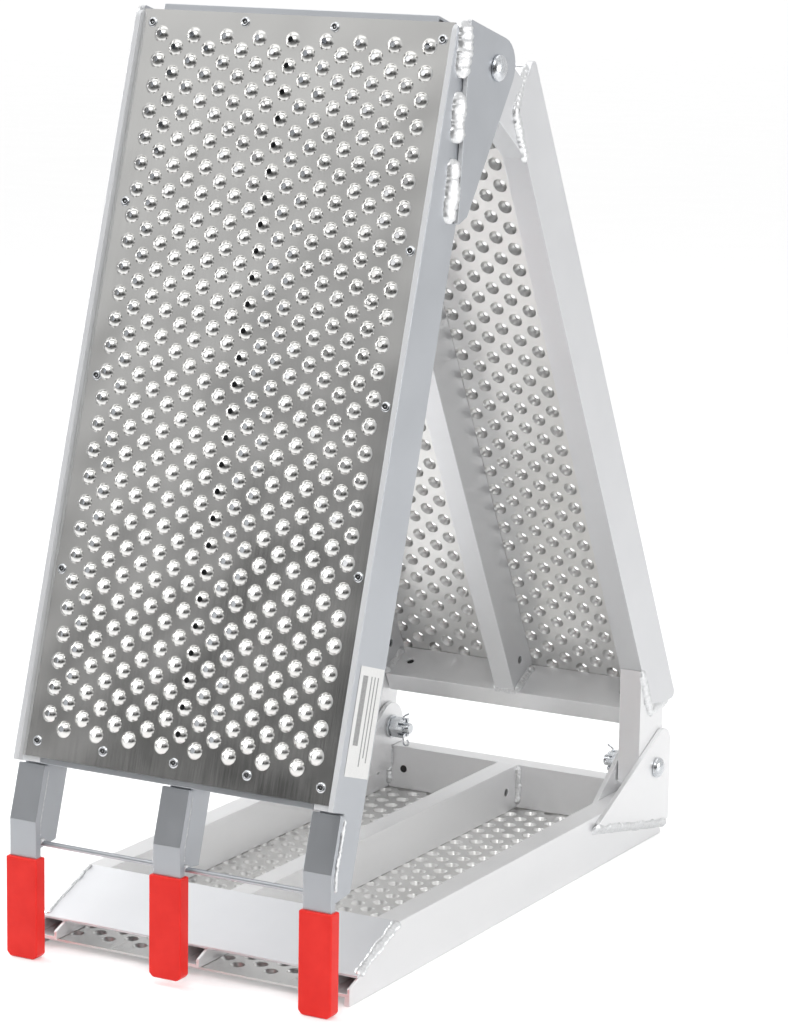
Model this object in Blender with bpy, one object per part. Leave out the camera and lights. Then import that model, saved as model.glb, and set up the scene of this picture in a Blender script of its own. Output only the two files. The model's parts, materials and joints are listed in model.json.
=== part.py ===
"""Folding loading ramp: three hinged aluminium sections with hook fingers and capped tips."""
import math

import bmesh
import bpy
from mathutils import Euler, Vector

MM = 0.001

# Overall sizes, in millimetres.
HALF_WIDTH = 170.0
RAIL_WIDTH = 25.0
SECTION_DEPTH = 55.0
LIP_WIDTH = 5.8
LIP_HEIGHT = 8.2
WALL = 3.0
RIB_WIDTH = 23.0
CROSS_WIDTH = 22.0
DECK_TOP = 6.0
DECK_THICKNESS = 2.0
DECK_HALF_WIDTH = 163.9
GAP = 0.3

# The two hinge axes, seen from the side.
PIVOT_DEPTH = 77.0
LOWER_PIVOT_Y = 626.0
PIVOT_SPACING = 836.0
MIDDLE_LEAN = 27.6
UPPER_LEAN = 16.9
FOOT_Y = -317.68

# Section ends, measured along each section from its hinge axis.
MITRE = 28.0
GROUND_END = 26.0
MIDDLE_END = 32.0
UPPER_END = 30.0
UPPER_LIP_START = 26.0
UPPER_LIP_END = 683.0
LIP_CORNER = 7.0

# Foot of the ground section.
FOOT_HEIGHT = 16.2
FOOT_SLOPE = 21.9
PLATE_START = 15.5
PLATE_LENGTH = 82.0
PLATE_THICKNESS = 3.0

# Hook fingers and their caps.
HOOK_WIDTH = 29.0
HOOK_THICKNESS = 8.0
HOOK_TOP = 684.5
HOOK_BEND = 737.0
HOOK_DEPTH = 13.0
HOOK_X = 156.6
CAP_WIDTH = 34.0
CAP_WALL = 3.2
CAP_HEIGHT = 96.0
MIDDLE_HOOK_LIFT = 7.0
TIE_ROD_RADIUS = 2.5

# Hinge hardware.
PLATE_OUT = HALF_WIDTH + 0.2
CLEVIS_THICKNESS = 4.8
BOLT_RADIUS = 6.0
BORE_RADIUS = 6.08
LUG_FRONT = -32.0
LUG_BACK = 23.0
LUG_TIP_RADIUS = 15.0
BOLT_END = 116.0
NUT_START = 121.5
NUT_END = 137.0
WASHER_END = 139.6
COTTER_X = 125.0
COTTER_RADIUS = 1.0
VENT_RADIUS = 4.0

RAIL_INNER = HALF_WIDTH - RAIL_WIDTH
DECK_UNDER = DECK_TOP + DECK_THICKNESS
UNDERSIDE = SECTION_DEPTH - PIVOT_DEPTH
LEDGE = LIP_HEIGHT - PIVOT_DEPTH
DECK_FACE = -PIVOT_DEPTH


def clear_scene():
    for item in list(bpy.data.objects):
        bpy.data.objects.remove(item, do_unlink=True)


def make_material(name, colour, metallic, roughness):
    """One plain surface for one node."""
    material = bpy.data.materials.new(name)
    material.use_nodes = True
    shader = material.node_tree.nodes["Principled BSDF"]
    shader.inputs["Base Color"].default_value = (*colour, 1.0)
    shader.inputs["Metallic"].default_value = metallic
    shader.inputs["Roughness"].default_value = roughness
    return material


SURFACES = {
    "aluminium": ((0.70, 0.72, 0.74), 1.0, 0.38),
    "sheet": ((0.62, 0.62, 0.61), 1.0, 0.30),
    "zinc": ((0.68, 0.70, 0.72), 1.0, 0.25),
    "red": ((0.80, 0.03, 0.02), 0.0, 0.45),
}


def make_frame(name, y, z, turn_degrees):
    """An empty on a hinge axis; everything in its section hangs from it."""
    frame = bpy.data.objects.new(name, None)
    frame.location = Vector((0.0, y * MM, z * MM))
    frame.rotation_euler = Euler((math.radians(turn_degrees), 0.0, 0.0))
    bpy.context.scene.collection.objects.link(frame)
    return frame


def finish_mesh(name, shape, parent, surface=None):
    """Turn a bmesh into an object; without a surface it is a hidden cutter."""
    bmesh.ops.recalc_face_normals(shape, faces=shape.faces)
    mesh = bpy.data.meshes.new(name)
    shape.to_mesh(mesh)
    shape.free()
    node = bpy.data.objects.new(name, mesh)
    bpy.context.scene.collection.objects.link(node)
    node.parent = parent
    if surface is None:
        node.hide_render = True
        node.display_type = "WIRE"
    else:
        mesh.materials.append(make_material(name + "_surface", *SURFACES[surface]))
    return node


def prism(name, outline, x_range, parent, surface=None):
    """Extrude a side outline, given as (along, depth) points, across the width."""
    shape = bmesh.new()
    ends = []
    for x in x_range:
        ring = [shape.verts.new(Vector((x, y, z)) * MM) for y, z in outline]
        ends.append(ring)
        shape.faces.new(ring)
    count = len(outline)
    for i in range(count):
        j = (i + 1) % count
        shape.faces.new((ends[0][i], ends[0][j], ends[1][j], ends[1][i]))
    return finish_mesh(name, shape, parent, surface)


def box(name, x_range, y_range, z_range, parent, surface=None):
    outline = [(y_range[0], z_range[0]), (y_range[1], z_range[0]),
               (y_range[1], z_range[1]), (y_range[0], z_range[1])]
    return prism(name, outline, x_range, parent, surface)


def ring_points(radius, count, centre=(0.0, 0.0), start=0.0):
    points = []
    for i in range(count):
        angle = start + 2.0 * math.pi * i / count
        points.append((centre[0] + radius * math.cos(angle), centre[1] + radius * math.sin(angle)))
    return points


def rod_x(name, radius, x_range, parent, centre=(0.0, 0.0), surface=None, count=32):
    return prism(name, ring_points(radius, count, centre), x_range, parent, surface)


def rod_along(name, radius, start, end, parent):
    """A hidden round cutter between two points."""
    return sweep(name, [Vector(start), Vector(end)], radius, parent, None, 20)


def sweep(name, path, radius, parent, surface, count=12):
    """Carry a circle along a path of points, closed at both ends."""
    shape = bmesh.new()
    rings = []
    tangents = []
    for i in range(len(path)):
        before = path[max(i - 1, 0)]
        after = path[min(i + 1, len(path) - 1)]
        tangents.append((after - before).normalized())
    side = tangents[0].orthogonal().normalized()
    for point, tangent in zip(path, tangents):
        side = (side - tangent * side.dot(tangent)).normalized()
        other = tangent.cross(side)
        ring = []
        for a, b in ring_points(radius, count):
            ring.append(shape.verts.new((point + side * a + other * b) * MM))
        rings.append(ring)
    for first, second in zip(rings, rings[1:]):
        for i in range(count):
            j = (i + 1) % count
            shape.faces.new((first[i], first[j], second[j], second[i]))
    shape.faces.new(rings[0])
    shape.faces.new(rings[-1])
    return finish_mesh(name, shape, parent, surface)


def revolve(name, profile, parent, surface, side, count=32):
    """Turn (x, radius) points around the hinge axis; end points lie on the axis."""
    shape = bmesh.new()
    rings = []
    for x, radius in profile[1:-1]:
        rings.append([shape.verts.new(Vector((side * x, y, z)) * MM)
                      for y, z in ring_points(radius, count)])
    first = shape.verts.new(Vector((side * profile[0][0], 0.0, 0.0)) * MM)
    last = shape.verts.new(Vector((side * profile[-1][0], 0.0, 0.0)) * MM)
    for i in range(count):
        j = (i + 1) % count
        shape.faces.new((first, rings[0][i], rings[0][j]))
        for near, far in zip(rings, rings[1:]):
            shape.faces.new((near[i], near[j], far[j], far[i]))
        shape.faces.new((last, rings[-1][j], rings[-1][i]))
    return finish_mesh(name, shape, parent, surface)


def subtract(node, cutters):
    for cutter in cutters:
        cut = node.modifiers.new("cut_" + cutter.name, "BOOLEAN")
        cut.operation = "DIFFERENCE"
        cut.solver = "EXACT"
        cut.object = cutter
    return node


def rounded(points, steps=8):
    """Round the corners of an outline; each point is (along, depth, radius)."""
    outline = []
    count = len(points)
    for i, (y, z, radius) in enumerate(points):
        here = Vector((y, z))
        if radius == 0.0:
            outline.append((y, z))
            continue
        back = (Vector(points[i - 1][:2]) - here).normalized()
        ahead = (Vector(points[(i + 1) % count][:2]) - here).normalized()
        half = back.angle(ahead) / 2.0
        centre = here + (back + ahead).normalized() * (radius / math.sin(half))
        start = here + back * (radius / math.tan(half)) - centre
        turn = start.angle_signed(here + ahead * (radius / math.tan(half)) - centre)
        for step in range(steps + 1):
            angle = -turn * step / steps
            outline.append((centre.x + start.x * math.cos(angle) - start.y * math.sin(angle),
                            centre.y + start.x * math.sin(angle) + start.y * math.cos(angle)))
    return outline


def x_span(side, near, far):
    return (side * near, side * far)


SIDES = (("left", -1.0), ("right", 1.0))


def make_rail(name, outline, side, parent, deck, hollow, vents):
    """A hollow rail with a raised outer lip; the deck sheet rests on its ledge."""
    rail = prism(name, outline, x_span(side, RAIL_INNER, HALF_WIDTH), parent, "aluminium")
    long_span = (-200.0, 1000.0)
    ledge = box(name + "_ledge_cut", x_span(side, RAIL_INNER - 10.0, HALF_WIDTH - LIP_WIDTH),
                long_span, (deck - 10.0, deck + LIP_HEIGHT), parent)
    bore = box(name + "_bore_cut", x_span(side, RAIL_INNER + WALL, HALF_WIDTH - WALL), hollow,
               (deck + LIP_HEIGHT + WALL, deck + SECTION_DEPTH - WALL), parent)
    cutters = [ledge, bore]
    for i, y in enumerate(vents):
        z = deck + 30.0
        cutters.append(rod_x(name + "_vent_cut_" + str(i), VENT_RADIUS,
                             x_span(side, RAIL_INNER - 5.0, RAIL_INNER + 8.0), parent, (y, z)))
    return subtract(rail, cutters)


def make_rib(name, outline, parent, deck, y_range):
    """The hollow centre rib, with a vent hole through both sides near each end."""
    half = RIB_WIDTH / 2.0
    rib = prism(name, outline, (-half, half), parent, "aluminium")
    bore = box(name + "_bore_cut", (WALL - half, half - WALL), (-200.0, 1000.0),
               (deck + LIP_HEIGHT + WALL, deck + SECTION_DEPTH - WALL), parent)
    cutters = [bore]
    for i, y in enumerate((y_range[0] + 24.0, y_range[1] - 24.0)):
        cutters.append(rod_x(name + "_vent_cut_" + str(i), VENT_RADIUS, (-half - 5.0, half + 5.0),
                             parent, (y, deck + 30.0)))
    return subtract(rib, cutters)


def make_cross(name, start, toward_middle, parent, deck):
    """A hollow cross-member between the rails; its vent holes face the section's middle."""
    end = start + toward_middle * CROSS_WIDTH
    reach = RAIL_INNER - GAP
    top = deck + LIP_HEIGHT
    cross = box(name, (-reach, reach), (start, end), (top, deck + SECTION_DEPTH), parent, "aluminium")
    bore = box(name + "_bore_cut", (-reach - 10.0, reach + 10.0),
               (start + toward_middle * WALL, end - toward_middle * WALL),
               (top + WALL, deck + SECTION_DEPTH - WALL), parent)
    cutters = [bore]
    for word, side in SIDES:
        x = side * (reach - 18.0)
        cutters.append(rod_along(name + "_vent_cut_" + word, VENT_RADIUS,
                                 (x, end - toward_middle * 8.0, deck + 30.0),
                                 (x, end + toward_middle * 5.0, deck + 30.0), parent))
    return subtract(cross, cutters)


def make_deck(name, y_range, parent, deck):
    return box(name, (-DECK_HALF_WIDTH, DECK_HALF_WIDTH), y_range,
               (deck + DECK_TOP, deck + DECK_UNDER), parent, "sheet")


def make_bore(name, side, parent, centre=(0.0, 0.0)):
    """The hidden cutter for one hinge hole."""
    return rod_x(name, BORE_RADIUS, x_span(side, RAIL_INNER - 20.0, HALF_WIDTH + 20.0), parent, centre)


def lug_outline():
    """Side outline of a hinge lug about its pivot, along and across the tilted lug."""
    shoulder = Vector((32.0, LUG_BACK))
    reach = math.acos(LUG_TIP_RADIUS / shoulder.length)
    tangent = math.atan2(shoulder.y, shoulder.x) + reach
    points = [(62.9, LUG_BACK), (shoulder.x, shoulder.y)]
    for step in range(9):
        angle = tangent + (math.pi - tangent) * step / 8
        points.append((LUG_TIP_RADIUS * math.cos(angle), LUG_TIP_RADIUS * math.sin(angle)))
    points.append((-12.0, LUG_FRONT))
    points.append((107.9, LUG_FRONT))
    points.append((62.9, -8.6))
    return points


def make_lug(name, side, parent, pivot_y, toward_middle):
    """A tube stub welded under a mitred rail end, carrying the hinge eye."""
    lean = math.radians(MIDDLE_LEAN)
    outline = []
    for along, across in lug_outline():
        y = along * math.cos(lean) - across * math.sin(lean)
        z = -along * math.sin(lean) - across * math.cos(lean)
        outline.append((pivot_y + toward_middle * y, z))
    lug = prism(name, outline, x_span(side, RAIL_INNER + 0.8, HALF_WIDTH - 0.2), parent, "aluminium")
    return subtract(lug, [make_bore(name + "_bore_cut", side, parent, (pivot_y, 0.0))])


def inner_plate_outline(centre_y, centre_z, toward_middle):
    """Round-topped plate beside the rail, notched over the cross-member."""
    radius = 26.0
    tip = Vector((106.0, -46.0))
    base = UNDERSIDE + GAP
    reach = math.acos(radius / tip.length)
    start = math.atan2(tip.y, tip.x) + reach
    points = [(tip.x, tip.y)]
    for step in range(17):
        angle = start + (math.pi - start) * step / 16
        points.append((radius * math.cos(angle), radius * math.sin(angle)))
    points.extend([(-radius, base), (-0.6, base), (-0.6, tip.y)])
    return [(centre_y + toward_middle * y, centre_z + z) for y, z in points]


def make_plate(name, outline, side, x_range, parent, centre):
    plate = prism(name, outline, x_span(side, *x_range), parent, "aluminium")
    return subtract(plate, [make_bore(name + "_bore_cut", side, parent, centre)])


def make_bolt(name, side, head_radius, parent):
    """Domed pivot bolt lying on the hinge axis, cross-drilled for its cotter pin."""
    head = PLATE_OUT + CLEVIS_THICKNESS + 0.2
    profile = [(BOLT_END, 0.0), (BOLT_END, BOLT_RADIUS - 1.0), (BOLT_END + 1.0, BOLT_RADIUS),
               (head, BOLT_RADIUS), (head, head_radius), (head + 1.6, head_radius)]
    for step in range(1, 6):
        angle = math.pi / 2.0 * step / 6
        profile.append((head + 1.6 + 5.4 * math.sin(angle), head_radius * math.cos(angle)))
    profile.append((head + 7.0, 0.0))
    bolt = revolve(name, profile, parent, "zinc", side)
    hole = rod_along(name + "_hole_cut", COTTER_RADIUS + 0.4, (side * COTTER_X, 0.0, -15.0),
                     (side * COTTER_X, 0.0, 15.0), parent)
    return subtract(bolt, [hole])


def make_nut(name, side, parent):
    """Castle nut with six slots in its crown."""
    flat = 10.0
    hexagon = ring_points(flat / math.cos(math.pi / 6.0), 6)
    nut = prism(name, hexagon, x_span(side, NUT_START, NUT_END), parent, "zinc")
    bore = rod_x(name + "_bore_cut", BORE_RADIUS, x_span(side, NUT_START - 5.0, NUT_END + 5.0), parent)
    cutters = [bore]
    for i in range(3):
        angle = math.radians(90.0 + 60.0 * i)
        along = Vector((math.cos(angle), math.sin(angle)))
        across = Vector((-along.y, along.x)) * 2.0
        corners = [along * 15.0 + across, along * 15.0 - across,
                   along * -15.0 - across, along * -15.0 + across]
        cutters.append(prism(name + "_slot_cut_" + str(i), [(p.x, p.y) for p in corners],
                             x_span(side, NUT_START - 5.0, NUT_START + 5.8), parent))
    return subtract(nut, cutters)


def make_washer(name, side, parent):
    washer = rod_x(name, 12.5, x_span(side, NUT_END + 0.2, WASHER_END), parent, surface="zinc")
    return subtract(washer, [rod_x(name + "_bore_cut", BORE_RADIUS,
                                   x_span(side, NUT_END - 5.0, WASHER_END + 5.0), parent)])


def make_cotter(name, side, parent):
    """Cotter pin through the bolt end, with a bent tail at its top and a ring at its foot."""
    path = [Vector((side * (COTTER_X - 6.5), 0.0, 16.4)), Vector((side * (COTTER_X - 2.5), 0.0, 14.4)),
            Vector((side * COTTER_X, 0.0, 12.2)), Vector((side * COTTER_X, 0.0, -12.2))]
    ring_radius = 3.2
    centre = Vector((side * (COTTER_X - ring_radius), 0.0, -16.0))
    for step in range(1, 12):
        angle = math.radians(20.0 - 25.0 * step)
        path.append(centre + Vector((side * ring_radius * math.cos(angle), 0.0, ring_radius * math.sin(angle))))
    return sweep(name, path, COTTER_RADIUS, parent, "zinc")


def make_hinge_hardware(prefix, head_radius, parent):
    for word, side in SIDES:
        make_bolt(prefix + "_bolt_" + word, side, head_radius, parent)
        make_washer(prefix + "_washer_" + word, side, parent)
        make_nut(prefix + "_nut_" + word, side, parent)
        make_cotter(prefix + "_cotter_" + word, side, parent)


def foot_point(along, height):
    """A point on the foot slope of the ground section."""
    slope = math.radians(FOOT_SLOPE)
    return (along * math.cos(slope) - height * math.sin(slope),
            FOOT_HEIGHT + along * math.sin(slope) + height * math.cos(slope))


def ground_outline(base):
    """Side outline shared by the ground rails and rib, above the given base height."""
    step = PLATE_START + PLATE_LENGTH + GAP
    low = foot_point(step, 0.0)
    rise = (SECTION_DEPTH - low[1]) / math.cos(math.radians(FOOT_SLOPE))
    return [(0.0, base), (0.0, FOOT_HEIGHT), low, foot_point(step, rise)]


def build_ground(parent):
    end = LOWER_PIVOT_Y + GROUND_END
    inner_face = end - CROSS_WIDTH
    rail_outline = ground_outline(0.0) + [(end - MITRE, SECTION_DEPTH), (end, 0.0)]
    for word, side in SIDES:
        make_rail("ground_rail_" + word, rail_outline, side, parent, 0.0,
                  (-50.0, 1000.0), (inner_face - 22.0,))
    rib_end = inner_face - GAP
    rib_outline = ground_outline(LIP_HEIGHT) + [(rib_end, SECTION_DEPTH), (rib_end, LIP_HEIGHT)]
    make_rib("ground_rib", rib_outline, parent, 0.0, (96.0, rib_end))
    make_cross("ground_cross_back", end, -1.0, parent, 0.0)
    make_deck("ground_deck", (4.0, end - 5.0), parent, 0.0)
    lift = 0.2
    plate = [foot_point(PLATE_START, lift), foot_point(PLATE_START + PLATE_LENGTH, lift),
             foot_point(PLATE_START + PLATE_LENGTH, lift + PLATE_THICKNESS),
             foot_point(PLATE_START, lift + PLATE_THICKNESS)]
    prism("approach_plate", plate, (-HALF_WIDTH, HALF_WIDTH), parent, "aluminium")
    centre = (LOWER_PIVOT_Y, PIVOT_DEPTH)
    outer = rounded([(488.0, 46.0, 3.0), (660.0, 125.0, 18.0), (659.0, 14.0, 2.0)])
    inner = inner_plate_outline(*centre, -1.0)
    for word, side in SIDES:
        make_plate("ground_clevis_outer_" + word, outer, side,
                   (PLATE_OUT, PLATE_OUT + CLEVIS_THICKNESS), parent, centre)
        make_plate("ground_clevis_inner_" + word, inner, side,
                   (RAIL_INNER - GAP - CLEVIS_THICKNESS, RAIL_INNER - GAP), parent, centre)


def build_middle(parent):
    far = PIVOT_SPACING
    outline = rounded([(MIDDLE_END, DECK_FACE, 6.0), (MIDDLE_END + MITRE, UNDERSIDE, 0.0),
                       (far - MIDDLE_END - MITRE, UNDERSIDE, 0.0), (far - MIDDLE_END, DECK_FACE, 6.0)])
    cross_start = MIDDLE_END + 1.0
    inner_face = cross_start + CROSS_WIDTH
    for word, side in SIDES:
        make_rail("middle_rail_" + word, outline, side, parent, DECK_FACE,
                  (-50.0, 1000.0), (inner_face + 22.0, far - inner_face - 22.0))
        make_lug("middle_lug_lower_" + word, side, parent, 0.0, 1.0)
        make_lug("middle_lug_upper_" + word, side, parent, far, -1.0)
    rib_range = (inner_face + GAP, far - inner_face - GAP)
    rib_outline = [(rib_range[0], LEDGE), (rib_range[1], LEDGE),
                   (rib_range[1], UNDERSIDE), (rib_range[0], UNDERSIDE)]
    make_rib("middle_rib", rib_outline, parent, DECK_FACE, rib_range)
    make_cross("middle_cross_lower", cross_start, 1.0, parent, DECK_FACE)
    make_cross("middle_cross_upper", far - cross_start, -1.0, parent, DECK_FACE)
    make_deck("middle_deck", (MIDDLE_END + 6.0, far - MIDDLE_END - 6.0), parent, DECK_FACE)


def hook_point(along, back):
    """A point on the lower leg of a hook finger, from its bend."""
    lean = math.radians(UPPER_LEAN)
    front = HOOK_DEPTH - PIVOT_DEPTH
    return (HOOK_BEND + along * math.cos(lean) - back * math.sin(lean),
            front + along * math.sin(lean) + back * math.cos(lean))


def hook_drop():
    """Height of the finger bend above the ground at rest."""
    lean = math.radians(UPPER_LEAN)
    pivot_z = PIVOT_DEPTH + PIVOT_SPACING * math.cos(math.radians(MIDDLE_LEAN))
    return pivot_z - HOOK_BEND * math.cos(lean) - (HOOK_DEPTH - PIVOT_DEPTH) * math.sin(lean)


def extension_outline(lift):
    """Outline of a tube end behind a hook finger, from the underside around to the finger bend."""
    back = HOOK_DEPTH + HOOK_THICKNESS + GAP - PIVOT_DEPTH
    bend = HOOK_THICKNESS + GAP
    inner_bend = HOOK_BEND - bend * math.tan(math.radians(UPPER_LEAN) / 2.0)
    return [(751.0, UNDERSIDE), hook_point(29.0 - lift, bend), (inner_bend, back)], back


def make_hook(name, x, lift, parent):
    """Flat hook finger, bent so that its lower leg stands upright at rest, and its cap."""
    drop = hook_drop() - lift
    front = HOOK_DEPTH - PIVOT_DEPTH
    back = front + HOOK_THICKNESS
    inner_bend = HOOK_BEND - HOOK_THICKNESS * math.tan(math.radians(UPPER_LEAN) / 2.0)
    tip = drop - CAP_WALL - GAP
    outline = [(HOOK_TOP, front), (HOOK_BEND, front), hook_point(tip, 0.0),
               hook_point(tip, HOOK_THICKNESS), (inner_bend, back), (HOOK_TOP, back)]
    half = HOOK_WIDTH / 2.0
    prism("hook_finger_" + name, outline, (x - half, x + half), parent, "aluminium")
    make_cap("hook_cap_" + name, x, drop, parent)


def make_cap(name, x, drop, parent):
    """Closed plastic sleeve over a finger tip."""
    wall = CAP_WALL + 0.2
    half = CAP_WIDTH / 2.0
    outline = [hook_point(drop - CAP_HEIGHT, -wall), hook_point(drop, -wall),
               hook_point(drop, HOOK_THICKNESS + wall), hook_point(drop - CAP_HEIGHT, HOOK_THICKNESS + wall)]
    cap = prism(name, outline, (x - half, x + half), parent, "red")
    round_off = cap.modifiers.new("soft_edges", "BEVEL")
    round_off.width = 2.4 * MM
    round_off.segments = 2
    round_off.limit_method = "ANGLE"
    top = drop - CAP_HEIGHT - 10.0
    bottom = drop - CAP_WALL
    pocket = [hook_point(top, -0.2), hook_point(bottom, -0.2),
              hook_point(bottom, HOOK_THICKNESS + 0.2), hook_point(top, HOOK_THICKNESS + 0.2)]
    reach = HOOK_WIDTH / 2.0 + 0.2
    return subtract(cap, [prism(name + "_pocket_cut", pocket, (x - reach, x + reach), parent)])


def build_upper(parent):
    tail, back = extension_outline(0.0)
    corners = [(-UPPER_LIP_START, DECK_FACE), (MITRE - UPPER_END + 1.0, UNDERSIDE), *tail,
               (UPPER_LIP_END, back), (UPPER_LIP_END, DECK_FACE)]
    rail_outline = rounded([(*corners[0], LIP_CORNER)] + [(*point, 0.0) for point in corners[1:]])
    cross_start = -UPPER_END + 0.5
    low_cross = UPPER_LIP_END
    rib_range = (cross_start + CROSS_WIDTH + GAP, low_cross - CROSS_WIDTH - GAP)
    for word, side in SIDES:
        make_rail("upper_rail_" + word, rail_outline, side, parent, DECK_FACE, (-80.0, 640.0),
                  (rib_range[0] + 22.0, rib_range[1] - 24.0))
    rib_outline = [(rib_range[0], LEDGE), (rib_range[1], LEDGE),
                   (rib_range[1], UNDERSIDE), (rib_range[0], UNDERSIDE)]
    make_rib("upper_rib", rib_outline, parent, DECK_FACE, rib_range)
    make_cross("upper_cross_top", cross_start, 1.0, parent, DECK_FACE)
    make_cross("upper_cross_bottom", low_cross, -1.0, parent, DECK_FACE)
    make_deck("upper_deck", (-23.3, 677.7), parent, DECK_FACE)
    half = RIB_WIDTH / 2.0
    short_tail = extension_outline(MIDDLE_HOOK_LIFT)[0]
    stub = [(UPPER_LIP_END + GAP, back), (UPPER_LIP_END + GAP, UNDERSIDE), *short_tail]
    prism("upper_hook_stub", stub, (-half, half), parent, "aluminium")
    make_hook("left", -HOOK_X, 0.0, parent)
    make_hook("middle", 0.0, MIDDLE_HOOK_LIFT, parent)
    make_hook("right", HOOK_X, 0.0, parent)
    for word, side in SIDES:
        rod_x("tie_rod_" + word, TIE_ROD_RADIUS, x_span(side, half + GAP, RAIL_INNER - GAP), parent,
              (755.5, 32.5 - PIVOT_DEPTH), "aluminium", 16)
    outer = rounded([(-29.0, 14.0, 2.0), (-30.0, 122.0, 26.0), (140.0, 64.0, 4.0), (151.0, 49.0, 2.0)])
    outer = [(y, z - PIVOT_DEPTH) for y, z in outer]
    inner = inner_plate_outline(0.0, 0.0, 1.0)
    for word, side in SIDES:
        make_plate("upper_ear_outer_" + word, outer, side,
                   (PLATE_OUT, PLATE_OUT + CLEVIS_THICKNESS), parent, (0.0, 0.0))
        make_plate("upper_ear_inner_" + word, inner, side,
                   (RAIL_INNER - GAP - CLEVIS_THICKNESS, RAIL_INNER - GAP), parent, (0.0, 0.0))


def build():
    clear_scene()
    lean = math.radians(MIDDLE_LEAN)
    lower_y = FOOT_Y + LOWER_PIVOT_Y
    upper_y = lower_y - PIVOT_SPACING * math.sin(lean)
    upper_z = PIVOT_DEPTH + PIVOT_SPACING * math.cos(lean)
    ground = make_frame("ground_frame", FOOT_Y, 0.0, 0.0)
    lower_pivot = make_frame("lower_pivot_frame", lower_y, PIVOT_DEPTH, 0.0)
    middle = make_frame("middle_frame", lower_y, PIVOT_DEPTH, 90.0 + MIDDLE_LEAN)
    upper = make_frame("upper_frame", upper_y, upper_z, 270.0 - UPPER_LEAN)
    build_ground(ground)
    build_middle(middle)
    build_upper(upper)
    make_hinge_hardware("lower", 10.5, lower_pivot)
    make_hinge_hardware("upper", 12.5, upper)


build()
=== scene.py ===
"""Looks of the folding loading ramp: punched decks, rivets, weld beads, finishes, light and camera."""
import json
import math
import random

import bmesh
import bpy
from mathutils import Matrix, Vector, noise

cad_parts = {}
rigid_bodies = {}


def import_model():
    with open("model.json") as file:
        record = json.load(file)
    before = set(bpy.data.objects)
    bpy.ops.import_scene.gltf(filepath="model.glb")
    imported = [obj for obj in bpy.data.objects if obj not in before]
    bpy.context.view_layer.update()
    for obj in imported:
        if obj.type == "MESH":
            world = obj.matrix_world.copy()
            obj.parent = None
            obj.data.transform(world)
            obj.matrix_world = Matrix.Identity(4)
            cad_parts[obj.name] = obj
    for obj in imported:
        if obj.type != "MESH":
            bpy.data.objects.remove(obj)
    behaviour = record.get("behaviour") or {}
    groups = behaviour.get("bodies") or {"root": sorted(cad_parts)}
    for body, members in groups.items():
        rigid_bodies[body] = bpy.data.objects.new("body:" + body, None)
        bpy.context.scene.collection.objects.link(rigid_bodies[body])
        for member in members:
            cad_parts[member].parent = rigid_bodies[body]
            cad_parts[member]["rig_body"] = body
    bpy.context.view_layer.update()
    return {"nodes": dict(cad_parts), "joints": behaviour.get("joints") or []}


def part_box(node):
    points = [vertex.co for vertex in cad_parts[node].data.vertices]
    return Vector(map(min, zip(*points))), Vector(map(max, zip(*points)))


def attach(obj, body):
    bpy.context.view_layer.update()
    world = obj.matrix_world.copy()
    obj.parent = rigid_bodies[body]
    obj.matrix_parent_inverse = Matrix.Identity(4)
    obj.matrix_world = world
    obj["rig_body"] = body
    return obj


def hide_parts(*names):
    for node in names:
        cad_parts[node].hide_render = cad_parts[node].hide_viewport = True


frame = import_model()

MM = 0.001

# Sizes of the ramp in millimetres, as the solids have them.
RAIL_FACE = 170.0
RAIL_INNER = 145.0
PIVOT_DEPTH = 77.0
PIVOT_SPACING = 836.0
LOWER_PIVOT_Y = 626.0
DECK_TOP = 6.0
DECK_UNDER = 8.0
DECK_HALF_WIDTH = 163.9

# How far the middle and hook sections are turned from the ground section at rest, in degrees.
MIDDLE_TURN = 117.6
UPPER_TURN = 253.1

# The punched pattern of the deck sheets: how the dimples are laid out across a sheet.
COLUMNS = 17
COLUMN_PITCH = 17.68

# A dimple: steps along the side of its cell, then (radius, height) rings of its dome and of its hollow side.
PLAIN_DIMPLE = (4,
                ((7.9, 0.0), (7.4, 0.8), (6.4, 2.2), (4.8, 3.5), (2.8, 4.3)),
                ((2.8, 5.1), (4.6, 4.2), (5.9, 2.6), (6.7, 0.8), (7.3, 0.0)))
ROUND_DIMPLE = (6,
                ((7.9, 0.0), (7.1, 1.3), (5.3, 3.1), (2.8, 4.3)),
                ((2.8, 5.1), (5.6, 3.2), (7.3, 0.0)))


# ---------------------------------------------------------------- sections

class Section:
    """One folding section: its body, and the way from (across, along, depth) to the world."""

    def __init__(self, body, matrix):
        self.body = body
        self.matrix = matrix @ Matrix.Scale(MM, 4)
        self.turn = matrix.to_euler()


def make_sections():
    """The three sections, placed by the hinges of the frame."""
    hinges = {joint["name"]: Vector(joint["pos_m"]) for joint in frame["joints"]}
    lower = hinges["lower_fold"]
    upper = hinges["upper_fold"]
    depth_shift = Matrix.Translation((0.0, 0.0, -PIVOT_DEPTH * MM))
    ground = Matrix.Translation((0.0, lower.y - LOWER_PIVOT_Y * MM, 0.0))
    middle = Matrix.Translation(lower) @ Matrix.Rotation(math.radians(MIDDLE_TURN), 4, "X") @ depth_shift
    top = Matrix.Translation(upper) @ Matrix.Rotation(math.radians(UPPER_TURN), 4, "X") @ depth_shift
    return (Section("ground_section", ground), Section("middle_section", middle),
            Section("hook_section", top))


GROUND, MIDDLE, UPPER = make_sections()
CAP_SPACE = Section("hook_section", Matrix.Identity(4))


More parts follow.
